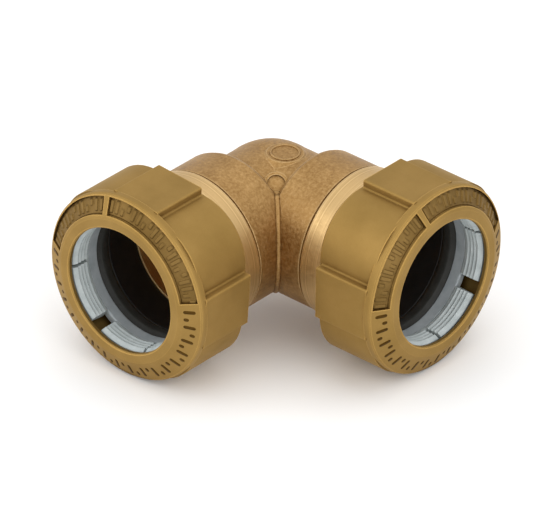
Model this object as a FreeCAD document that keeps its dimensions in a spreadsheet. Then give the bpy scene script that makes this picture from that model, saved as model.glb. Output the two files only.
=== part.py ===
"""Brass push-fit elbow for 32 mm plastic pipe.

Two equal ports meet at a right angle. Each port holds a flanged nut with four
wrench pads, a split grip ring, a thrust ring, a rubber seal and a backing
sleeve, all on the pipe's axis. Lengths are in millimetres.

The row frame has +Z up. Port A points along -Y and port B along +X. The origin
is at the bottom centre of the whole fitting's box.
"""
import FreeCAD, Part
import Sketcher
import math
import os

from FreeCAD import Placement, Rotation, Vector

# ---------------------------------------------------------------- driving sizes
# Radii are from a port's axis. A name ending in _at is a distance from the
# crossing of the two axes, measured outwards along the port's axis.
SIZES = {
    # whole fitting
    "port_reach": 55.5,        # axis crossing to the nut's front face
    # forged elbow, outside
    "core_radius": 15.8,
    "knuckle_radius": 15.9,    # ball that rounds the outer corner
    "hub_radius": 19.1,
    "hub_inner_at": 13.0,
    "hub_edge": 1.1,           # rounding of the hub's inner edge
    "hub_outer_at": 25.5,
    "step_depth": 0.4,         # groove between the cast hub and the turned band
    "step_width": 0.5,
    "band_radius": 19.3,
    "band_outer_at": 34.2,
    "band_bevel": 0.2,
    "thread_radius": 20.25,
    "thread_root": 19.35,
    "thread_pitch": 2.0,
    "thread_foot": 1.6,        # width of a thread ridge at its root
    "thread_crest": 0.3,       # and at its top
    "thread_runout": 0.2,      # the last ridge is this much lower
    "thread_inner_at": 36.0,
    "mouth_at": 44.6,
    # forged elbow, inside
    "waterway_radius": 12.5,
    "socket_radius": 16.25,
    "socket_floor_at": 16.5,
    "seal_seat_radius": 18.2,
    "seal_seat_at": 31.5,
    # marks on the forging
    "plateau_radius": 4.6,
    "plateau_along": 4.2,      # centre's distance from the crossing, along port B
    "plateau_top": 16.05,
    "plateau_depth": 1.6,      # its flank slopes down at 45 degrees for this far
    "boss_radius": 3.1,
    "boss_dimple": 2.2,
    "boss_dimple_depth": 0.45,
    "boss_length": 7.0,
    "boss_out": 11.2,
    "boss_up": 15.2,
    # nut
    "opening_radius": 16.5,
    "nut_length": 21.3,
    "face_land": 18.9,
    "flange_radius": 24.6,
    "flange_drop": 2.7,        # cone face falls back this far at the flange
    "flange_depth": 5.0,
    "face_round": 0.5,
    "barrel_apothem": 21.9,    # centre to a flat of the rounded square barrel
    "barrel_corner": 14.3,
    "pad_apothem": 24.0,
    "pad_width": 14.1,
    "pad_front_depth": 4.3,
    "pad_back_depth": 20.2,
    "pad_foot_round": 0.5,
    "pad_edge_round": 0.45,
    "rear_bevel": 0.7,
    "panel_inner": 19.8,
    "panel_outer": 23.95,
    "panel_depth": 0.75,
    "lip_depth": 1.2,
    "seat_front_radius": 18.0,
    "seat_back_radius": 19.4,
    "seat_depth": 7.4,
    "cavity_depth": 11.2,
    "nut_thread_radius": 20.3,
    # grip ring
    "grip_front_depth": 1.9,
    "grip_back_depth": 7.25,
    "grip_front_radius": 17.55,
    "grip_back_radius": 18.9,
    "grip_bore": 16.55,
    "barb_radius": 16.1,
    "slot_width": 0.9,
    "slot_length": 4.5,
    "split_width": 3.4,
    # thrust ring, seal and backing sleeve
    "thrust_back_depth": 10.3,
    "thrust_bore": 16.7,
    "thrust_radius": 18.9,
    "seal_back_depth": 14.5,
    "seal_lip": 16.1,
    "seal_radius": 18.15,
    "sleeve_bore": 16.7,
    "play": 0.05,
    # angles in degrees
    "panel_rib": 4.0,
    "short_panel": 65.0,
    "long_panel": 90.0,
    "rib_angle": -18.0,
}
S = "Sizes."

doc = FreeCAD.newDocument("PushFitElbow")


def make_sheet():
    """Write every driving size to the spreadsheet, one aliased cell each."""
    sheet = doc.addObject("Spreadsheet::Sheet", "Sizes")
    for row, (name, value) in enumerate(SIZES.items(), start=1):
        sheet.set("A%d" % row, name)
        sheet.set("B%d" % row, str(value))
        sheet.setAlias("B%d" % row, name)
    doc.recompute()
    return sheet


sheet = make_sheet()


def size(name):
    """Read one driving size back from the spreadsheet."""
    return float(sheet.get(name))


def behind_face(depth):
    """Expression for a place this far behind the nut's front face."""
    return "%sport_reach - (%s)" % (S, depth)


# ------------------------------------------------------------- sketch helpers
def origin_plane(body, role):
    """Find one of a body's own origin planes by its role."""
    for feature in body.Origin.OriginFeatures:
        if feature.Role == role:
            return feature
    raise RuntimeError("no origin plane " + role)


def outline(body, name, role, points):
    """Sketch a closed outline whose corners are pairs of expressions."""
    sketch = body.newObject("Sketcher::SketchObject", name)
    sketch.AttachmentSupport = [(origin_plane(body, role), "")]
    sketch.MapMode = "FlatFace"
    count = len(points)
    seeds = [Vector(20 + 5 * math.cos(i), 20 + 5 * math.sin(i), 0) for i in range(count)]
    for i in range(count):
        sketch.addGeometry(Part.LineSegment(seeds[i], seeds[(i + 1) % count]), False)
    for i in range(count):
        pair = (i, 2, (i + 1) % count, 1)
        sketch.addConstraint(Sketcher.Constraint("Coincident", *pair))
    for i, place in enumerate(points):
        for kind, axis, formula in zip(("DistanceX", "DistanceY"), (-2, -1), place):
            if formula == "0":
                constraint = Sketcher.Constraint("PointOnObject", i, 1, axis)
                sketch.addConstraint(constraint)
            else:
                constraint = Sketcher.Constraint(kind, -1, 1, i, 1, 10.0)
                index = sketch.addConstraint(constraint)
                sketch.setExpression("Constraints[%d]" % index, formula)
    return sketch


def revolve(body, name, role, points, axis="V_Axis"):
    """Turn an outline a full circle about one of its sketch's axes."""
    sketch = outline(body, name + "_outline", role, points)
    feature = body.newObject("PartDesign::Revolution", name)
    feature.Profile = sketch
    feature.ReferenceAxis = (sketch, [axis])
    feature.Angle = 360.0
    doc.recompute()
    return feature


def cut_round(body, name, role, points, axis="V_Axis"):
    """Cut a turned outline out of the body and make sure that it cut."""
    before = body.Shape.Volume
    sketch = outline(body, name + "_outline", role, points)
    feature = body.newObject("PartDesign::Groove", name)
    feature.Profile = sketch
    feature.ReferenceAxis = (sketch, [axis])
    feature.Angle = 360.0
    doc.recompute()
    if body.Shape.Volume >= before:
        raise RuntimeError(name + " cuts nothing")
    return feature


def port_placement(port, spin=0.0):
    """Place a piece whose own +Z is the port's axis and own +Y is up."""
    if port == "a":
        columns = (Vector(1, 0, 0), Vector(0, 0, 1), Vector(0, -1, 0))
    else:
        columns = (Vector(0, 1, 0), Vector(0, 0, 1), Vector(1, 0, 0))
    turn = Rotation(columns[0], columns[1], columns[2], "ZXY")
    shift = (size("port_reach") - size("flange_radius")) / 2
    centre = Vector(-shift, shift, size("flange_radius"))
    return Placement(centre, turn.multiply(Rotation(Vector(0, 0, 1), -spin)))


def bind_centre(body):
    """Tie the body's position to the crossing of the two port axes."""
    shift = "(%sport_reach - %sflange_radius) / 2" % (S, S)
    body.setExpression("Placement.Base.x", "-" + shift)
    body.setExpression("Placement.Base.y", shift)
    body.setExpression("Placement.Base.z", S + "flange_radius")


def new_body(label, placement):
    """Start a PartDesign body with its label and place."""
    body = doc.addObject("PartDesign::Body", label)
    body.Label = label
    body.Placement = placement
    bind_centre(body)
    return body


# ---------------------------------------------------------------- forged elbow
def leg_outline():
    """Outside of one leg as (distance along the axis, radius) expressions."""
    points = [
        ("0", "0"),
        ("0", S + "core_radius"),
        (S + "hub_inner_at", S + "core_radius"),
        (S + "hub_inner_at", S + "hub_radius - " + S + "hub_edge"),
        (S + "hub_inner_at + %shub_edge * 0.3" % S, S + "hub_radius - %shub_edge * 0.3" % S),
        (S + "hub_inner_at + " + S + "hub_edge", S + "hub_radius"),
        (S + "hub_outer_at", S + "hub_radius"),
        (S + "hub_outer_at + %sstep_width * 0.3" % S, S + "hub_radius - " + S + "step_depth"),
        (S + "hub_outer_at + %sstep_width" % S, S + "band_radius - %sstep_depth" % S),
        (S + "hub_outer_at + %sstep_width * 1.3" % S, S + "band_radius"),
        (S + "band_outer_at", S + "band_radius"),
        (S + "band_outer_at + " + S + "band_bevel", S + "thread_root"),
    ]
    turns = 4
    foot = S + "thread_foot / 2"
    crest = S + "thread_crest / 2"
    runout = S + "thread_runout"
    for turn in range(turns):
        middle = "%sthread_inner_at + %d * %sthread_pitch" % (S, turn, S)
        points += [
            (middle + " - " + foot, S + "thread_root"),
            (middle + " - " + crest, S + "thread_radius"),
            (middle + " + " + crest, S + "thread_radius"),
            (middle + " + " + foot, S + "thread_root"),
        ]
    last = "%sthread_inner_at + %d * %sthread_pitch" % (S, turns, S)
    points += [
        (last + " - " + foot, S + "thread_root"),
        (last + " - " + crest, S + "thread_radius - " + runout),
        (S + "mouth_at", S + "thread_root - " + runout),
        (S + "mouth_at", "0"),
    ]
    return points


def bore_outline():
    """Waterway, pipe socket and seal seat of one leg."""
    return [
        ("0", "0"),
        ("0", S + "waterway_radius"),
        (S + "socket_floor_at", S + "waterway_radius"),
        (S + "socket_floor_at", S + "socket_radius"),
        (S + "seal_seat_at", S + "socket_radius"),
        (S + "seal_seat_at", S + "seal_seat_radius"),
        (S + "mouth_at + 1", S + "seal_seat_radius"),
        (S + "mouth_at + 1", "0"),
    ]


def port_a_way(points):
    """Lay (along, radius) pairs out for port A: along -Y, radius along +X."""
    return [(radius, along if along == "0" else "-(%s)" % along) for along, radius in points]


def make_ball(body, kind, name, radius):
    """Add or cut a ball at the crossing of the two axes."""
    ball = body.newObject("PartDesign::%sSphere" % kind, name)
    ball.setExpression("Radius", S + radius)
    doc.recompute()
    return ball


def make_cylinder(body, kind, name, radius, height, base, direction=Vector(0, 0, 1)):
    """Add or cut a cylinder whose base and direction are given in the body."""
    cylinder = body.newObject("PartDesign::%sCylinder" % kind, name)
    cylinder.setExpression("Radius", radius)
    cylinder.setExpression("Height", height)
    cylinder.AttachmentSupport = [(origin_plane(body, "XY_Plane"), "")]
    cylinder.MapMode = "FlatFace"
    cylinder.AttachmentOffset = Placement(base, Rotation(Vector(0, 0, 1), direction))
    doc.recompute()
    return cylinder


def make_plateau(body):
    """Low round flat with a sloping flank, on top of port B's leg."""
    cone = body.newObject("PartDesign::AdditiveCone", "plateau")
    cone.setExpression("Radius1", "%splateau_radius + %splateau_depth" % (S, S))
    cone.setExpression("Radius2", S + "plateau_radius")
    cone.setExpression("Height", S + "plateau_depth")
    cone.AttachmentSupport = [(origin_plane(body, "XY_Plane"), "")]
    cone.MapMode = "FlatFace"
    cone.setExpression("AttachmentOffset.Base.x", S + "plateau_along")
    cone.setExpression("AttachmentOffset.Base.z", "%splateau_top - %splateau_depth" % (S, S))
    doc.recompute()


def make_elbow():
    """One forging: two hubs on a smaller core, machined ports, two marks."""
    body = new_body("elbow_body", Placement())
    revolve(body, "leg_b", "XY_Plane", leg_outline(), "H_Axis")
    revolve(body, "leg_a", "XY_Plane", port_a_way(leg_outline()), "V_Axis")
    make_ball(body, "Additive", "knuckle", "knuckle_radius")
    make_plateau(body)
    lean = Vector(0.4, -0.4, 0.82)
    lean.normalize()
    face = Vector(size("boss_out"), -size("boss_out"), size("boss_up"))
    root = face - lean * size("boss_length")
    make_cylinder(body, "Additive", "gate_boss", S + "boss_radius", S + "boss_length", root, lean)
    floor = face - lean * size("boss_dimple_depth")
    make_cylinder(body, "Subtractive", "gate_dimple", S + "boss_dimple", S + "boss_length", floor, lean)
    cut_round(body, "bore_b", "XY_Plane", bore_outline(), "H_Axis")
    cut_round(body, "bore_a", "XY_Plane", port_a_way(bore_outline()), "V_Axis")
    make_ball(body, "Subtractive", "bend_bore", "waterway_radius")
    return body


# ------------------------------------------------------------------------ nut
def flange_outline():
    """Solid section of the flange and its cone face, as (radius, place) pairs."""
    return [
        ("0", behind_face("0")),
        (S + "face_land", behind_face("0")),
        (S + "face_land + " + S + "face_round", behind_face("0.15")),
        (S + "flange_radius - 0.35", behind_face(S + "flange_drop - 0.2")),
        (S + "flange_radius - 0.1", behind_face(S + "flange_drop + 0.15")),
        (S + "flange_radius", behind_face(S + "flange_drop + 0.6")),
        (S + "flange_radius", behind_face(S + "flange_depth - 0.4")),
        (S + "flange_radius - 0.4", behind_face(S + "flange_depth")),
        ("0", behind_face(S + "flange_depth")),
    ]


def nut_bore_outline():
    """Everything turned out of the nut: opening, cone seat and thread."""
    return [
        ("0", behind_face("-1")),
        (S + "opening_radius + 0.3", behind_face("-1")),
        (S + "opening_radius + 0.3", behind_face("0")),
        (S + "opening_radius", behind_face("0.3")),
        (S + "opening_radius", behind_face(S + "lip_depth")),
        (S + "opening_radius + 0.9", behind_face(S + "lip_depth")),
        (S + "seat_front_radius", behind_face(S + "lip_depth + 0.2")),
        (S + "seat_back_radius", behind_face(S + "seat_depth")),
        (S + "seat_back_radius", behind_face(S + "cavity_depth - 0.6")),
        (S + "nut_thread_radius", behind_face(S + "cavity_depth")),
        (S + "nut_thread_radius", behind_face(S + "nut_length - 0.6")),
        (S + "nut_thread_radius + 0.7", behind_face(S + "nut_length + 0.1")),
        ("0", behind_face(S + "nut_length + 0.1")),
    ]


def dress_edges(body, kind, name, test, dimension):
    """Fillet or chamfer the edges that pass a test."""
    base = body.Tip
    before = body.Shape.Volume
    feature = body.newObject("PartDesign::" + kind, name)
    feature.Base = (base, edges_where(base, test))
    feature.setExpression("Radius" if kind == "Fillet" else "Size", S + dimension)
    doc.recompute()
    if abs(body.Shape.Volume - before) < 1e-6:
        raise RuntimeError(name + " changes nothing")
    return feature


def edges_where(feature, test):
    """Names of a feature's edges that pass test(middle point, is it along Z)."""
    names = []
    for number, edge in enumerate(feature.Shape.Edges, start=1):
        middle = edge.valueAt((edge.FirstParameter + edge.LastParameter) / 2)
        start, end = edge.Vertexes[0].Point, edge.Vertexes[-1].Point
        flat = math.hypot(start.x - end.x, start.y - end.y)
        if test(middle, flat < 1e-6 and abs(start.z - end.z) > 1e-3):
            names.append("Edge%d" % number)
    return names


def make_barrel(body):
    """Square barrel with large round corners, behind the flange."""
    block = body.newObject("PartDesign::AdditiveBox", "barrel_block")
    block.setExpression("Length", "2 * " + S + "barrel_apothem")
    block.setExpression("Width", "2 * " + S + "barrel_apothem")
    block.setExpression("Height", "%snut_length - %sflange_depth + 1" % (S, S))
    block.AttachmentSupport = [(origin_plane(body, "XY_Plane"), "")]
    block.MapMode = "FlatFace"
    block.setExpression("AttachmentOffset.Base.x", "-" + S + "barrel_apothem")
    block.setExpression("AttachmentOffset.Base.y", "-" + S + "barrel_apothem")
    block.setExpression("AttachmentOffset.Base.z", behind_face(S + "nut_length"))
    doc.recompute()
    dress_edges(body, "Fillet", "barrel_corners", lambda middle, along: along, "barrel_corner")


def add_pads(body):
    """Four flat wrench pads, raised on the flats of the barrel."""
    half = S + "pad_width / 2"
    low = S + "barrel_apothem - 1"
    corners = [
        ("-" + half, low),
        (half, low),
        (half, S + "pad_apothem"),
        ("-" + half, S + "pad_apothem"),
    ]
    sketch = outline(body, "pad_outline", "XY_Plane", corners)
    sketch.setExpression("AttachmentOffset.Base.z", behind_face(S + "pad_back_depth"))
    pad = body.newObject("PartDesign::Pad", "wrench_pad")
    pad.Profile = sketch
    pad.setExpression("Length", "%spad_back_depth - %spad_front_depth" % (S, S))
    doc.recompute()
    ring = body.newObject("PartDesign::PolarPattern", "wrench_pads")
    ring.Originals = [pad]
    ring.Axis = (sketch, ["N_Axis"])
    ring.Angle = 360.0
    ring.Occurrences = 4
    body.Tip = ring
    doc.recompute()


def soften_pads(body):
    """Round the pads' feet and long edges, and bevel the barrel's rear rim."""
    half = size("pad_width") / 2
    low = size("barrel_apothem")
    top = size("pad_apothem")
    rear = size("port_reach") - size("nut_length")

    def on_pad_side(middle, height):
        sides = sorted((abs(middle.x), abs(middle.y)))
        return abs(sides[0] - half) < 1e-3 and abs(sides[1] - height) < 1e-3

    def at_foot(middle, along):
        return along and on_pad_side(middle, low)

    def at_top(middle, along):
        return along and on_pad_side(middle, top)

    def at_rear(middle, along):
        return abs(middle.z - rear) < 1e-3

    dress_edges(body, "Fillet", "pad_feet", at_foot, "pad_foot_round")
    dress_edges(body, "Fillet", "pad_edges", at_top, "pad_edge_round")
    dress_edges(body, "Chamfer", "rear_rim", at_rear, "rear_bevel")


def cut_panel(body, name, start, sweep):
    """Sink one arc-shaped panel into the cone face, from start, clockwise."""
    run = "%sflange_radius - 0.35 - %sface_land - %sface_round" % (S, S, S)
    fall = "(%sflange_drop - 0.35) / (%s)" % (S, run)
    floor = "0.15 + (%s%s - %sface_land - %sface_round) * " + fall + " + %spanel_depth"
    corners = [
        (S + "panel_inner", behind_face("-1")),
        (S + "panel_outer", behind_face("-1")),
        (S + "panel_outer", behind_face(floor % (S, "panel_outer", S, S, S))),
        (S + "panel_inner", behind_face(floor % (S, "panel_inner", S, S, S))),
    ]
    before = body.Shape.Volume
    sketch = outline(body, name + "_outline", "XZ_Plane", corners)
    middle = start + sweep / 2
    sketch.AttachmentOffset = Placement(Vector(), Rotation(Vector(0, 1, 0), 90 - middle))
    groove = body.newObject("PartDesign::Groove", name)
    groove.Profile = sketch
    groove.ReferenceAxis = (sketch, ["V_Axis"])
    groove.Angle = sweep
    groove.Midplane = True
    doc.recompute()
    if body.Shape.Volume >= before:
        raise RuntimeError(name + " cuts nothing")


def make_nut(port, spin):
    """Flanged nut: rounded square barrel, four pads and two sunk face panels."""
    body = new_body("nut_" + port, port_placement(port, spin))
    make_barrel(body)
    add_pads(body)
    soften_pads(body)
    revolve(body, "flange", "XZ_Plane", flange_outline())
    cut_round(body, "nut_bore", "XZ_Plane", nut_bore_outline())
    rib = size("rib_angle")
    half_rib = size("panel_rib") / 2
    cut_panel(body, "long_panel", rib + half_rib, size("long_panel"))
    cut_panel(body, "short_panel", rib - half_rib - size("short_panel"), size("short_panel"))
    return body


# ---------------------------------------------------------------------- rings
def grip_outline():
    """Cone-backed ring with four barbs that lean into the port."""
    barbs = 4
    step = 1.05
    points = [
        (S + "grip_front_radius", behind_face(S + "grip_front_depth")),
        (S + "grip_back_radius", behind_face(S + "grip_back_depth - 0.4")),
        (S + "grip_back_radius - 0.3", behind_face(S + "grip_back_depth")),
        (S + "grip_bore", behind_face(S + "grip_back_depth")),
    ]
    for barb in reversed(range(barbs)):
        at = 0.45 + barb * step
        points += [
            (S + "grip_bore", behind_face("%sgrip_front_depth + %.2f" % (S, at + step * 0.85))),
            (S + "barb_radius", behind_face("%sgrip_front_depth + %.2f" % (S, at + step * 0.75))),
            (S + "grip_bore", behind_face("%sgrip_front_depth + %.2f" % (S, at))),
        ]
    points.append((S + "grip_bore + 0.25", behind_face(S + "grip_front_depth")))
    return points


def cut_slot(body, name, width, length, turn):
    """Cut a slot through the ring's wall from its outer end."""
    before = body.Shape.Volume
    half = "(%s) / 2" % width
    corners = [
        ("-" + half, S + "grip_bore - 2"),
        (half, S + "grip_bore - 2"),
        (half, S + "grip_back_radius + 2"),
        ("-" + half, S + "grip_back_radius + 2"),
    ]
    sketch = outline(body, name + "_outline", "XY_Plane", corners)
    sketch.AttachmentOffset = Placement(Vector(), Rotation(Vector(0, 0, 1), turn))
    sketch.setExpression("AttachmentOffset.Base.z", behind_face(S + "grip_front_depth"))
    pocket = body.newObject("PartDesign::Pocket", name)
    pocket.Profile = sketch
    pocket.setExpression("Length", length)
    doc.recompute()
    if body.Shape.Volume >= before:
        raise RuntimeError(name + " cuts nothing")
    return pocket, sketch


def make_grip_ring(port, spin):
    """Split plastic ring with five thin slots and one open split."""
    body = new_body("grip_ring_" + port, port_placement(port, spin))
    revolve(body, "grip_section", "XZ_Plane", grip_outline())
    whole = "%sgrip_back_depth - %sgrip_front_depth" % (S, S)
    cut_slot(body, "split", S + "split_width", whole, 0)
    first_slot = 55.0
    thin, sketch = cut_slot(body, "thin_slot", S + "slot_width", S + "slot_length", first_slot)
    ring = body.newObject("PartDesign::PolarPattern", "thin_slots")
    ring.Originals = [thin]
    ring.Axis = (sketch, ["N_Axis"])
    ring.Angle = 360.0 - 2 * first_slot
    ring.Occurrences = 5
    body.Tip = ring
    doc.recompute()
    return body


def make_ring(label, port, points):
    """One plain turned ring on a port's axis."""
    body = new_body("%s_%s" % (label, port), port_placement(port))
    revolve(body, label + "_section", "XZ_Plane", points)
    return body


def thrust_outline():
    front = S + "grip_back_depth + " + S + "play"
    return [
        (S + "thrust_bore + 0.3", behind_face(front)),
        (S + "thrust_radius - 0.3", behind_face(front)),
        (S + "thrust_radius", behind_face(front + " + 0.3")),
        (S + "thrust_radius", behind_face(S + "thrust_back_depth - 0.3")),
        (S + "thrust_radius - 0.3", behind_face(S + "thrust_back_depth")),
        (S + "thrust_bore", behind_face(S + "thrust_back_depth")),
        (S + "thrust_bore", behind_face(front + " + 0.3")),
    ]


def seal_outline():
    front = S + "thrust_back_depth + " + S + "play"
    back = S + "seal_back_depth"
    return [
        (S + "seal_lip + 0.9", behind_face(front)),
        (S + "seal_radius - 0.5", behind_face(front)),
        (S + "seal_radius", behind_face(front + " + 0.5")),
        (S + "seal_radius", behind_face(back + " - 0.4")),
        (S + "seal_radius - 0.4", behind_face(back)),
        (S + "seal_lip + 0.5", behind_face(back)),
        (S + "seal_lip + 0.1", behind_face(back + " - 0.7")),
        (S + "seal_lip", behind_face(back + " - 1.1")),
        (S + "seal_lip", behind_face(front + " + 1.9")),
        (S + "seal_lip + 0.1", behind_face(front + " + 1.4")),
    ]


def sleeve_outline():
    front = S + "seal_back_depth + " + S + "play"
    foot = "%sport_reach - %sseal_seat_at - %splay" % (S, S, S)
    return [
        (S + "sleeve_bore + 0.3", behind_face(front)),
        (S + "seal_radius", behind_face(front)),
        (S + "seal_radius", behind_face(foot)),
        (S + "sleeve_bore", behind_face(foot)),
        (S + "sleeve_bore", behind_face(front + " + 0.3")),
    ]


pieces = [make_elbow()]
split_turn = {"a": -148.0, "b": 121.0}
nut_turn = {"a": 3.5, "b": 0.0}
for port in ("a", "b"):
    pieces.append(make_nut(port, nut_turn[port]))
    pieces.append(make_grip_ring(port, split_turn[port]))
    pieces.append(make_ring("thrust_ring", port, thrust_outline()))
    pieces.append(make_ring("seal", port, seal_outline()))
    pieces.append(make_ring("backing_sleeve", port, sleeve_outline()))

doc.recompute()
for item in doc.Objects:
    if "Invalid" in item.State or "Error" in item.State:
        raise RuntimeError("failed feature: " + item.Name)
os.makedirs("parts", exist_ok=True)
for piece in pieces:
    shape = piece.Shape
    if shape.isNull() or not shape.isValid() or len(shape.Solids) != 1:
        raise RuntimeError("bad shape: " + piece.Label)
    shape.exportStep("parts/%s.step" % piece.Label)
    box = shape.BoundBox
    print("%-18s volume %8.0f  x %6.2f %6.2f  y %6.2f %6.2f  z %6.2f %6.2f" % (
        piece.Label, shape.Volume, box.XMin, box.XMax, box.YMin, box.YMax, box.ZMin, box.ZMax))
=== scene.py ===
"""Looks of the brass push-fit elbow: materials, small raised and etched marks, studio and camera.

Everything is in metres in the row frame: +Z up, port A along -Y, port B along +X.
"""
import math

import bmesh
import bpy
from mathutils import Matrix, Vector


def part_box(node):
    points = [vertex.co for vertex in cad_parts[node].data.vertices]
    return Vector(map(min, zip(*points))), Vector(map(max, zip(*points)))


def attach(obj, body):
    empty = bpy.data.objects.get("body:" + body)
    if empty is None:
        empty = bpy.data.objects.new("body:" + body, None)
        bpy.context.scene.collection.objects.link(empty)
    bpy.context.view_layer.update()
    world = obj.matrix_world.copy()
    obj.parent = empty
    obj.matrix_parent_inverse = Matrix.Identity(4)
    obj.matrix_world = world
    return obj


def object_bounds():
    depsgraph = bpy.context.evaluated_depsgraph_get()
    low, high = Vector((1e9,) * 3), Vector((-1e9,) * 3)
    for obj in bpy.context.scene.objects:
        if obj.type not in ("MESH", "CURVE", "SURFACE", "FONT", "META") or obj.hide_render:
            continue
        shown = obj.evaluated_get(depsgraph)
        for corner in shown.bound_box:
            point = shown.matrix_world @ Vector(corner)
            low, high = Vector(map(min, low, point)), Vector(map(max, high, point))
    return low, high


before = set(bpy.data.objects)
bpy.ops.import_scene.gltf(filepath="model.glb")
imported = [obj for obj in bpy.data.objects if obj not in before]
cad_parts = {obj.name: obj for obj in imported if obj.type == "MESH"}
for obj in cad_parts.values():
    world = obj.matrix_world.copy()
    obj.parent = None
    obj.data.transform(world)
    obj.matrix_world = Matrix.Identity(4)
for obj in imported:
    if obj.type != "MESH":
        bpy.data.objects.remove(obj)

CAD_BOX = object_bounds()
MM = 0.001

# --------------------------------------------------------- sizes and places, mm
PORT_REACH = 55.5             # axis crossing to a nut's front face
FACE_FLAT = 19.4              # the cone face starts at this radius
CONE_START = 0.15             # and this far behind the front face
CONE_FALL = 2.35 / 4.85       # its fall for each millimetre of radius
PANEL_INNER, PANEL_OUTER = 19.8, 23.95
PANEL_DEPTH = 0.75
RIB_ANGLE, RIB_WIDTH = -18.0, 4.0  # the bar between the two panels, degrees
LONG_PANEL, SHORT_PANEL = 90.0, 65.0  # sweep of each panel, degrees
NUT_TURN = {"a": 3.5, "b": 0.0}  # how far each nut is screwed past upright, degrees
HUB_RADIUS = 19.1
HUB_INNER_AT, HUB_OUTER_AT = 13.0, 25.5
TURNED_FROM = HUB_OUTER_AT + 0.3  # the turned bands start here
PLATEAU_TOP, PLATEAU_ALONG = 16.05, 4.2
WATERWAY_SKIN = 14.0          # nearer than this to a port's axis is inside

# -------------------------------------------------------------- finish, mostly mm
SHADE_SAMPLES = 6             # rays for each crevice and soft edge
# How far the painted shade in corners reaches on brass and on plastic, mm.
BRASS_CREVICE, PLASTIC_CREVICE = 2.2, 1.2
CAST_EDGE, PLASTIC_EDGE = 0.5, 0.25
CAST_GRAIN, PLASTIC_GRAIN = 0.09, 0.02
LATHE_SCALE = 2600.0          # tool lines, for each metre
MIX_SHARE, MIX_FIRST, MIX_SECOND, MIX_RESULT = 0, 6, 7, 2  # a Mix node's colour sockets
WHITE = (1.0, 1.0, 1.0)

# ------------------------------------------------------------- camera and studio
CAMERA_TURN, CAMERA_RISE, CAMERA_ROLL = 40.9, 31.7, 0.8  # degrees
CAMERA_DISTANCE = 1.7         # metres from the aim
AIM_RIGHT, AIM_DOWN = 1.50, 12.32  # aim from the axis crossing, mm
LENS, SENSOR_WIDTH = 449.4, 36.0  # mm
WORLD_STRENGTH = 0.93
FLOOR_HALF = 6.0              # metres
FLOOR_GAP = 0.2               # under the fitting, mm

NUT_LOW, NUT_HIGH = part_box("nut_a")
CROSSING = Vector((
    (NUT_LOW.x + NUT_HIGH.x) / 2,
    NUT_LOW.y + PORT_REACH * MM,
    (NUT_LOW.z + NUT_HIGH.z) / 2,
))
UP = Vector((0.0, 0.0, 1.0))
OUTWARD = {"a": Vector((0.0, -1.0, 0.0)), "b": Vector((1.0, 0.0, 0.0))}
RIGHT = {"a": Vector((1.0, 0.0, 0.0)), "b": Vector((0.0, 1.0, 0.0))}


def port_point(port, radius, angle, depth):
    """A point on a nut: radius, angle from its top pad, depth behind its face."""
    turn = math.radians(angle + NUT_TURN[port])
    radial = math.cos(turn) * UP + math.sin(turn) * RIGHT[port]
    return CROSSING + MM * (OUTWARD[port] * (PORT_REACH - depth) + radial * radius)


def cone_depth(radius):
    """How far the nut's cone face lies behind its front face."""
    return CONE_START + (radius - FACE_FLAT) * CONE_FALL


def smooth_step(low, high, value):
    """Rise smoothly from 0 at low to 1 at high."""
    share = min(max((value - low) / (high - low), 0.0), 1.0)
    return share * share * (3.0 - 2.0 * share)


# ------------------------------------------------------------------ materials
def new_material(name):
    """A node material, its node tree and its shader."""
    material = bpy.data.materials.new(name)
    material.use_nodes = True
    tree = material.node_tree
    return material, tree, tree.nodes["Principled BSDF"]


def object_coordinates(tree):
    """Coordinates in metres that stay fixed to the metal."""
    return tree.nodes.new("ShaderNodeTexCoord").outputs["Object"]


def noise(tree, place, scale, detail=3.0, roughness=0.5, dimensions="3D"):
    """Fractal noise with a feature size of about one over scale metres."""
    node = tree.nodes.new("ShaderNodeTexNoise")
    node.noise_dimensions = dimensions
    node.inputs["Scale"].default_value = scale
    node.inputs["Detail"].default_value = detail
    node.inputs["Roughness"].default_value = roughness
    tree.links.new(place, node.inputs["W" if dimensions == "1D" else "Vector"])
    return node.outputs["Fac"]


def remap(tree, value, low, high, low_out, high_out):
    """Stretch the values between low and high to a new range."""
    node = tree.nodes.new("ShaderNodeMapRange")
    node.inputs["From Min"].default_value = low
    node.inputs["From Max"].default_value = high
    node.inputs["To Min"].default_value = low_out
    node.inputs["To Max"].default_value = high_out
    tree.links.new(value, node.inputs["Value"])
    return node.outputs["Result"]


def ramp(tree, value, *stops):
    """Turn a value into a colour through (place, colour) stops."""
    node = tree.nodes.new("ShaderNodeValToRGB")
    elements = node.color_ramp.elements
    for element, (place, colour) in zip(elements, (stops[0], stops[-1])):
        element.position = place
        element.color = colour + (1.0,)
    for place, colour in stops[1:-1]:
        elements.new(place).color = colour + (1.0,)
    tree.links.new(value, node.inputs["Fac"])
    return node.outputs["Color"]


def bump(tree, height, distance, normal):
    """Bend a normal by a height field, with its depth in mm."""
    node = tree.nodes.new("ShaderNodeBump")
    node.inputs["Distance"].default_value = distance * MM
    node.inputs["Strength"].default_value = 1.0
    tree.links.new(height, node.inputs["Height"])
    tree.links.new(normal, node.inputs["Normal"])
    return node.outputs["Normal"]


def math_node(tree, operation, first, second):
    """One arithmetic node on two sockets or numbers."""
    node = tree.nodes.new("ShaderNodeMath")
    node.operation = operation
    for socket, value in zip(node.inputs, (first, second)):
        if isinstance(value, (int, float)):
            socket.default_value = value
        else:
            tree.links.new(value, socket)
    return node.outputs["Value"]


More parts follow.
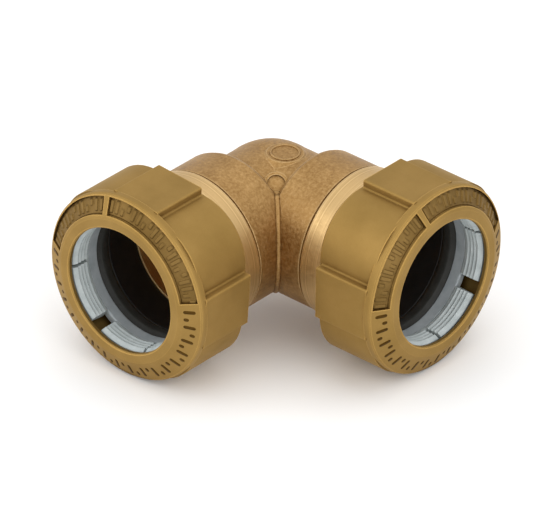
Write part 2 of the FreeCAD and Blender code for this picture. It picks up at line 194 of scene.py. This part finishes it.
def mix_colour(tree, share, first, second, blend="MIX"):
    """Mix two colours, each a socket or a plain colour, by a share."""
    node = tree.nodes.new("ShaderNodeMix")
    node.data_type = "RGBA"
    node.blend_type = blend
    for index, value in ((MIX_SHARE, share), (MIX_FIRST, first), (MIX_SECOND, second)):
        socket = node.inputs[index]
        if isinstance(value, bpy.types.NodeSocket):
            tree.links.new(value, socket)
        elif isinstance(value, tuple):
            socket.default_value = value + (1.0,)
        else:
            socket.default_value = value
    return node.outputs[MIX_RESULT]


def crevices(tree, reach):
    """One on open surfaces, falling to zero deep in corners within reach, mm."""
    node = tree.nodes.new("ShaderNodeAmbientOcclusion")
    node.samples = SHADE_SAMPLES
    node.inputs["Distance"].default_value = reach * MM
    return node.outputs["AO"]


def soft_normal(tree, radius):
    """Normals as if every sharp edge had a small radius, mm."""
    bevel = tree.nodes.new("ShaderNodeBevel")
    bevel.samples = SHADE_SAMPLES
    bevel.inputs["Radius"].default_value = radius * MM
    return bevel.outputs["Normal"]


def edge_share(tree, normal):
    """One where the soft normal leans off the true one, zero on flat surfaces."""
    geometry = tree.nodes.new("ShaderNodeNewGeometry")
    product = tree.nodes.new("ShaderNodeVectorMath")
    product.operation = "DOT_PRODUCT"
    tree.links.new(normal, product.inputs[0])
    tree.links.new(geometry.outputs["Normal"], product.inputs[1])
    return remap(tree, product.outputs["Value"], 0.998, 0.93, 0.0, 1.0)


def from_crossing(tree, where):
    """Distances along x, y and z from the axis crossing, in metres."""
    axes = tree.nodes.new("ShaderNodeSeparateXYZ")
    tree.links.new(where, axes.inputs["Vector"])
    return [
        math_node(tree, "SUBTRACT", axes.outputs[axis], centre)
        for axis, centre in zip("XYZ", CROSSING)
    ]


def square_sum(tree, first, second):
    """Sum of two squares."""
    squares = [math_node(tree, "MULTIPLY", value, value) for value in (first, second)]
    return math_node(tree, "ADD", squares[0], squares[1])


def bore_zone(tree, x, y, z):
    """One inside the waterway, zero on the outside of the elbow."""
    past_a = math_node(tree, "MAXIMUM", y, 0.0)
    past_b = math_node(tree, "MINIMUM", x, 0.0)
    flat = math_node(tree, "MINIMUM", square_sum(tree, x, past_a), square_sum(tree, past_b, y))
    reach = math_node(tree, "ADD", flat, math_node(tree, "MULTIPLY", z, z))
    return math_node(tree, "LESS_THAN", reach, (WATERWAY_SKIN * MM) ** 2)


def finish_brass(tree, shader, colour, polish, grain, grain_depth, highlight_colour, edge_radius):
    """Shared by all the brass: painted shade in corners, painted highlights on open edges and a
    grain.
    """
    normal = soft_normal(tree, edge_radius)
    corner = crevices(tree, BRASS_CREVICE)
    # Painted shade: the colour is darkened where nearby surfaces close in, standing in for the shade
    # that falls in corners and creases.
    brass_corner_shade = ramp(tree, corner, (0.30, (0.38, 0.31, 0.22)), (0.85, WHITE))
    colour = mix_colour(tree, 1.0, colour, brass_corner_shade, "MULTIPLY")
    # Painted highlight: open convex edges are lightened towards a brighter brass, standing in for the
    # glint a lamp would put on them.
    open_edge = remap(tree, corner, 0.75, 0.95, 0.0, 0.75)
    painted_edge_highlight = math_node(tree, "MULTIPLY", edge_share(tree, normal), open_edge)
    colour = mix_colour(tree, painted_edge_highlight, colour, highlight_colour)
    tree.links.new(colour, shader.inputs["Base Color"])
    tree.links.new(polish, shader.inputs["Roughness"])
    tree.links.new(bump(tree, grain, grain_depth, normal), shader.inputs["Normal"])
    shader.inputs["Metallic"].default_value = 1.0


def nut_brass(name, dark, light, roughness, grain_scale, grain_depth, edge_radius):
    """Satin brass: faint patches and a fine blasted grain."""
    material, tree, shader = new_material(name)
    where = object_coordinates(tree)
    patches = noise(tree, where, 70.0, 4.0, 0.6)
    fine = noise(tree, where, grain_scale, 3.0, 0.65)
    tones = ((0.3, dark), (0.7, light))
    colour = mix_colour(tree, 0.22, ramp(tree, patches, *tones), ramp(tree, fine, *tones))
    polish = remap(tree, fine, 0.3, 0.7, roughness - 0.05, roughness + 0.07)
    # The colour of the painted highlight on open edges.
    highlight_colour = tuple(min(1.0, 1.8 * part) for part in light)
    finish_brass(tree, shader, colour, polish, fine, grain_depth, highlight_colour, edge_radius)
    return material


def cast_brass(name):
    """Sand-cast skin with a coarse speckle, bright turned bands and a reddish bore."""
    material, tree, shader = new_material(name)
    where = object_coordinates(tree)
    x, y, z = from_crossing(tree, where)
    along = math_node(tree, "MAXIMUM", math_node(tree, "MULTIPLY", y, -1.0), x)
    turned = math_node(tree, "GREATER_THAN", along, TURNED_FROM * MM)

    patches = noise(tree, where, 140.0, 5.0, 0.62)
    speckle = noise(tree, where, 1300.0, 3.0, 0.7)
    skin = ramp(tree, patches, (0.28, (0.27, 0.145, 0.045)), (0.72, (0.47, 0.285, 0.11)))
    flecks = ramp(
        tree, speckle,
        (0.35, (0.24, 0.125, 0.04)), (0.5, (0.40, 0.24, 0.09)), (0.68, (0.62, 0.41, 0.19)),
    )
    skin = mix_colour(tree, 0.45, skin, flecks)

    lathe = noise(tree, along, LATHE_SCALE, dimensions="1D")
    bright = ramp(tree, lathe, (0.3, (0.52, 0.345, 0.15)), (0.7, (0.68, 0.475, 0.23)))
    colour = mix_colour(tree, turned, skin, bright)
    bored = ramp(tree, lathe, (0.3, (0.64, 0.37, 0.12)), (0.7, (0.82, 0.51, 0.19)))
    colour = mix_colour(tree, bore_zone(tree, x, y, z), colour, bored)

    rough = remap(tree, speckle, 0.3, 0.7, 0.42, 0.60)
    polish = math_node(tree, "SUBTRACT", rough, math_node(tree, "MULTIPLY", turned, 0.06))
    coarse = math_node(tree, "MULTIPLY", speckle, remap(tree, turned, 0.0, 1.0, 1.0, 0.05))
    lines = math_node(tree, "MULTIPLY", lathe, math_node(tree, "MULTIPLY", turned, 0.10))
    grain = math_node(tree, "ADD", coarse, lines)
    # The last colour is the painted highlight on the cast skin's open edges.
    finish_brass(tree, shader, colour, polish, grain, CAST_GRAIN, (0.72, 0.52, 0.27), CAST_EDGE)
    return material


def moulded_plastic(name, dark, light, roughness):
    """Moulded plastic with a faint mottled skin and painted shade in its corners."""
    material, tree, shader = new_material(name)
    where = object_coordinates(tree)
    mottle = noise(tree, where, 350.0, 3.0, 0.6)
    colour = ramp(tree, mottle, (0.3, dark), (0.7, light))
    # Painted shade: the colour is darkened towards grey where nearby surfaces close in, standing in
    # for the shade in corners and between ridges.
    corner = crevices(tree, PLASTIC_CREVICE)
    plastic_corner_shade = ramp(tree, corner, (0.2, (0.62, 0.62, 0.60)), (0.8, WHITE))
    colour = mix_colour(tree, 1.0, colour, plastic_corner_shade, "MULTIPLY")
    skin = noise(tree, where, 2600.0, 2.0, 0.5)
    polish = remap(tree, skin, 0.2, 0.8, roughness - 0.05, roughness + 0.1)
    normal = bump(tree, skin, PLASTIC_GRAIN, soft_normal(tree, PLASTIC_EDGE))
    tree.links.new(colour, shader.inputs["Base Color"])
    tree.links.new(polish, shader.inputs["Roughness"])
    tree.links.new(normal, shader.inputs["Normal"])
    return material


def dress(node, material):
    """Give a carried-over CAD node its finish."""
    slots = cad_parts[node].data.materials
    slots.clear()
    slots.append(material)


CAST = cast_brass("cast_brass")
NUT = nut_brass(
    "nut_brass", (0.300, 0.187, 0.054), (0.395, 0.252, 0.080),
    roughness=0.63, grain_scale=3000.0, grain_depth=0.012, edge_radius=0.45,
)
PANEL = nut_brass(
    "panel_brass", (0.155, 0.092, 0.026), (0.275, 0.172, 0.057),
    roughness=0.56, grain_scale=1500.0, grain_depth=0.05, edge_radius=0.15,
)
ETCH = nut_brass(
    "etched_mark", (0.070, 0.034, 0.005), (0.125, 0.066, 0.014),
    roughness=0.62, grain_scale=1800.0, grain_depth=0.03, edge_radius=0.05,
)
GRIP = moulded_plastic("grip_plastic", (0.42, 0.47, 0.47), (0.55, 0.60, 0.60), 0.42)
THRUST = moulded_plastic("thrust_plastic", (0.34, 0.38, 0.40), (0.44, 0.48, 0.50), 0.45)
SEAL = moulded_plastic("seal_rubber", (0.016, 0.016, 0.013), (0.030, 0.029, 0.025), 0.55)
SLEEVE = moulded_plastic("sleeve_plastic", (0.003, 0.003, 0.0025), (0.008, 0.0075, 0.007), 0.5)

dress("elbow_body", CAST)
for port in ("a", "b"):
    dress("nut_" + port, NUT)
    dress("grip_ring_" + port, GRIP)
    dress("thrust_ring_" + port, THRUST)
    dress("seal_" + port, SEAL)
    dress("backing_sleeve_" + port, SLEEVE)


# --------------------------------------------------------------- raised details
def finish_mesh(edit, name):
    """Turn the faces outward and bake an edit mesh into a named mesh."""
    bmesh.ops.recalc_face_normals(edit, faces=edit.faces)
    mesh = bpy.data.meshes.new(name)
    edit.to_mesh(mesh)
    edit.free()
    return mesh


def add_piece(name, mesh, material, body):
    """Link a finished mesh as a piece that rides on a CAD body."""
    piece = bpy.data.objects.new(name, mesh)
    mesh.materials.append(material)
    for polygon in mesh.polygons:
        polygon.use_smooth = True
    bpy.context.scene.collection.objects.link(piece)
    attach(piece, body)


def grid_shell(name, columns, rows, top, under):
    """A closed slab between two functions of a column and a row number."""
    edit = bmesh.new()
    upper = [[edit.verts.new(top(i, j)) for j in range(rows)] for i in range(columns)]
    lower = [[edit.verts.new(under(i, j)) for j in range(rows)] for i in range(columns)]
    for i in range(columns - 1):
        for j in range(rows - 1):
            edit.faces.new((upper[i][j], upper[i + 1][j], upper[i + 1][j + 1], upper[i][j + 1]))
            edit.faces.new((lower[i][j], lower[i][j + 1], lower[i + 1][j + 1], lower[i + 1][j]))
    rim = [(i, 0) for i in range(columns)] + [(columns - 1, j) for j in range(1, rows)]
    rim += [(i, rows - 1) for i in range(columns - 2, -1, -1)]
    rim += [(0, j) for j in range(rows - 2, 0, -1)]
    for (i, j), (k, m) in zip(rim, rim[1:] + rim[:1]):
        edit.faces.new((upper[i][j], lower[i][j], lower[k][m], upper[k][m]))
    return finish_mesh(edit, name)


def bar_relief(arc, share):
    """Height share of the raised bars, by place along the arc and across it."""
    pitch, half_width, side_slope, end_slope = 1.75, 0.36, 0.2, 0.05
    spans = ((0.20, 0.80), (0.20, 0.80), (0.20, 0.50), (0.50, 0.80))
    number = math.floor(arc / pitch)
    offset = abs(arc - (number + 0.5) * pitch)
    low, high = spans[number % len(spans)]
    across = 1.0 - smooth_step(half_width, half_width + side_slope, offset)
    rise, fall = smooth_step(low - end_slope, low, share), smooth_step(high, high + end_slope, share)
    return across * (rise * (1.0 - fall))


def add_panel(port, name, start, sweep):
    """Rough floor of one sunk panel with a row of raised bars."""
    margin = 0.04
    columns, rows = round(sweep / 0.22), 26
    inset = math.degrees(margin / PANEL_OUTER)
    floor_gap, bar_height, sunk = 0.04, 0.36, 0.02

    def place(i, j):
        angle = start + inset + (sweep - 2 * inset) * i / (columns - 1)
        radius = PANEL_INNER + margin + (PANEL_OUTER - PANEL_INNER - 2 * margin) * j / (rows - 1)
        return angle, radius

    def top(i, j):
        angle, radius = place(i, j)
        arc = math.radians(angle - start) * (PANEL_INNER + PANEL_OUTER) / 2
        share = j / (rows - 1)
        rise = floor_gap + bar_height * bar_relief(arc, share)
        return port_point(port, radius, angle, cone_depth(radius) + PANEL_DEPTH - rise)

    def under(i, j):
        angle, radius = place(i, j)
        return port_point(port, radius, angle, cone_depth(radius) + PANEL_DEPTH + sunk)

    mesh = grid_shell(name, columns, rows, top, under)
    add_piece(name, mesh, PANEL, "nut_" + port)


def round_cap(middle, end, half_width, share):
    """A place on a mark's round end, as (sideways, radius)."""
    turn = math.pi * share
    return end * half_width * math.cos(turn), middle + end * half_width * math.sin(turn)


def mark_outline(inner, outer, half_width):
    """Outline of one dash between two radii, as (sideways, radius) places."""
    cap_steps, side_steps = 6, 4
    low, high = inner + half_width, outer - half_width
    outline = []
    for side, end, start, stop in ((-1, 1, high, low), (1, -1, low, high)):
        outline += [round_cap(start, end, half_width, k / cap_steps) for k in range(cap_steps + 1)]
        outline += [
            (side * half_width, start + (stop - start) * k / side_steps)
            for k in range(1, side_steps)
        ]
    return outline


def add_index_marks(port):
    """Dark etched dashes round the plain lower part of the cone face."""
    first, last, pitch = 80.0, 271.0, 5.6
    marks = ((20.4, 23.2), (20.4, 21.6), (20.4, 23.2), (22.0, 23.2))
    half_width, proud, sunk = 0.42, 0.035, 0.08
    edit = bmesh.new()
    for number in range(int((last - first) / pitch) + 1):
        middle = first + pitch * number
        outline = mark_outline(*marks[number % len(marks)], half_width)
        top, under = (
            [
                edit.verts.new(port_point(
                    port, radius, middle + math.degrees(side / radius), cone_depth(radius) - lift,
                ))
                for side, radius in outline
            ]
            for lift in (proud, -sunk)
        )
        edit.faces.new(top)
        edit.faces.new(under[::-1])
        for k in range(len(outline)):
            following = (k + 1) % len(outline)
            edit.faces.new((top[k], under[k], under[following], top[following]))
    name = "index_marks_" + port
    add_piece(name, finish_mesh(edit, name), ETCH, "nut_" + port)


def add_parting_seam():
    """Flash line where the two halves of the mould met in the inner corner."""
    diagonal = Vector((1.0, -1.0, 0.0)).normalized()
    side = Vector((1.0, 1.0, 0.0)).normalized()
    end_gap = 0.4
    limit = math.acos((HUB_INNER_AT + end_gap) / HUB_RADIUS)
    columns, rows = 49, 9
    half_width, crown, fill, root = 0.62, 0.22, 0.55, 0.5

    def frame_at(i):
        turn = limit * (2.0 * i / (columns - 1) - 1.0)
        along = diagonal * (HUB_RADIUS * math.sqrt(2.0) * math.cos(turn))
        centre = along + UP * (HUB_RADIUS * math.sin(turn))
        outward = (diagonal * math.cos(turn) / math.sqrt(2.0) + UP * math.sin(turn)).normalized()
        return centre, outward, math.cos(turn)

    def top(i, j):
        centre, outward, opening = frame_at(i)
        across = 2.0 * j / (rows - 1) - 1.0
        rise = fill * opening + crown * (1.0 - across * across)
        return CROSSING + MM * (centre + outward * rise + side * half_width * across)

    def under(i, j):
        centre, outward, _ = frame_at(i)
        across = 2.0 * j / (rows - 1) - 1.0
        return CROSSING + MM * (centre - outward * root + side * half_width * across)

    mesh = grid_shell("parting_seam", columns, rows, top, under)
    add_piece("parting_seam", mesh, CAST, "elbow")


def add_plateau_ring():
    """Plain raised ring on the round plateau by the bend."""
    steps, section = 96, 12
    ring_radius, bead = 3.5, 0.3
    centre = Vector((PLATEAU_ALONG, 0.0, PLATEAU_TOP))
    edit = bmesh.new()
    loops = []
    for step in range(steps):
        turn = 2.0 * math.pi * step / steps
        outward = Vector((math.cos(turn), math.sin(turn), 0.0))
        loop = []
        for k in range(section):
            lean = 2.0 * math.pi * k / section
            offset = outward * (ring_radius + bead * math.cos(lean)) + UP * bead * math.sin(lean)
            loop.append(edit.verts.new(CROSSING + MM * (centre + offset)))
        loops.append(loop)
    for first, second in zip(loops, loops[1:] + loops[:1]):
        for k in range(section):
            following = (k + 1) % section
            edit.faces.new((first[k], second[k], second[following], first[following]))
    mesh = finish_mesh(edit, "plateau_ring")
    add_piece("plateau_ring", mesh, CAST, "elbow")


for port in ("a", "b"):
    add_panel(port, "long_panel_" + port, RIB_ANGLE + RIB_WIDTH / 2, LONG_PANEL)
    add_panel(port, "short_panel_" + port, RIB_ANGLE - RIB_WIDTH / 2 - SHORT_PANEL, SHORT_PANEL)
    add_index_marks(port)
add_parting_seam()
add_plateau_ring()


# --------------------------------------------------------------------- studio
def add_floor():
    """A wide pale floor under the fitting."""
    mesh = bpy.data.meshes.new("floor")
    half = FLOOR_HALF
    level = CAD_BOX[0][2] - FLOOR_GAP * MM
    corners = [(-half, -half, level), (half, -half, level), (half, half, level), (-half, half, level)]
    mesh.from_pydata(corners, [], [(0, 1, 2, 3)])
    floor = bpy.data.objects.new("floor", mesh)
    bpy.context.scene.collection.objects.link(floor)
    material, _, shader = new_material("floor_paper")
    shader.inputs["Base Color"].default_value = (0.93, 0.93, 0.93, 1.0)
    shader.inputs["Roughness"].default_value = 0.9
    shader.inputs["Specular IOR Level"].default_value = 0.1
    mesh.materials.append(material)


def add_panel_light(name, place, width, height, power):
    """A soft rectangular light at place, facing the fitting."""
    data = bpy.data.lights.new(name, "AREA")
    data.shape = "RECTANGLE"
    data.size = width
    data.size_y = height
    data.energy = power
    light = bpy.data.objects.new(name, data)
    light.location = place
    light.rotation_euler = (CROSSING - Vector(place)).to_track_quat("-Z", "Y").to_euler()
    bpy.context.scene.collection.objects.link(light)


def add_world(strength):
    """Even pale light from all round."""
    world = bpy.data.worlds.new("studio")
    world.use_nodes = True
    background = world.node_tree.nodes["Background"]
    background.inputs["Color"].default_value = (1.0, 1.0, 1.0, 1.0)
    background.inputs["Strength"].default_value = strength
    bpy.context.scene.world = world


def camera_axes(turn, rise, roll):
    """Backward, right and up directions of a camera by its angles in degrees."""
    turn, rise, roll = (math.radians(angle) for angle in (turn, rise, roll))
    back = Vector((math.sin(turn) * math.cos(rise), -math.cos(turn) * math.cos(rise), math.sin(rise)))
    level = Vector((math.cos(turn), math.sin(turn), 0.0))
    right = math.cos(roll) * level + math.sin(roll) * back.cross(level)
    return back, right, back.cross(right)


def add_camera():
    """A long lens from the right front, about thirty degrees up."""
    back, right, up = camera_axes(CAMERA_TURN, CAMERA_RISE, CAMERA_ROLL)
    aim = CROSSING + right * (AIM_RIGHT * MM) - up * (AIM_DOWN * MM)
    data = bpy.data.cameras.new("camera")
    data.sensor_width = SENSOR_WIDTH
    data.lens = LENS
    data.clip_start = 0.05
    data.clip_end = 50.0
    camera = bpy.data.objects.new("camera", data)
    axes = Matrix((right, up, back)).transposed().to_4x4()
    camera.matrix_world = Matrix.Translation(aim + back * CAMERA_DISTANCE) @ axes
    bpy.context.scene.collection.objects.link(camera)
    bpy.context.scene.camera = camera


add_floor()
add_world(WORLD_STRENGTH)
add_panel_light("front", (-0.9, -1.5, 0.75), width=2.4, height=1.8, power=16.0)
add_panel_light("right", (1.7, -0.3, 0.9), width=1.8, height=1.8, power=12.0)
add_panel_light("top", (0.0, 0.3, 1.6), width=2.0, height=1.6, power=6.0)
add_camera()
bpy.context.scene.view_settings.view_transform = "Standard"
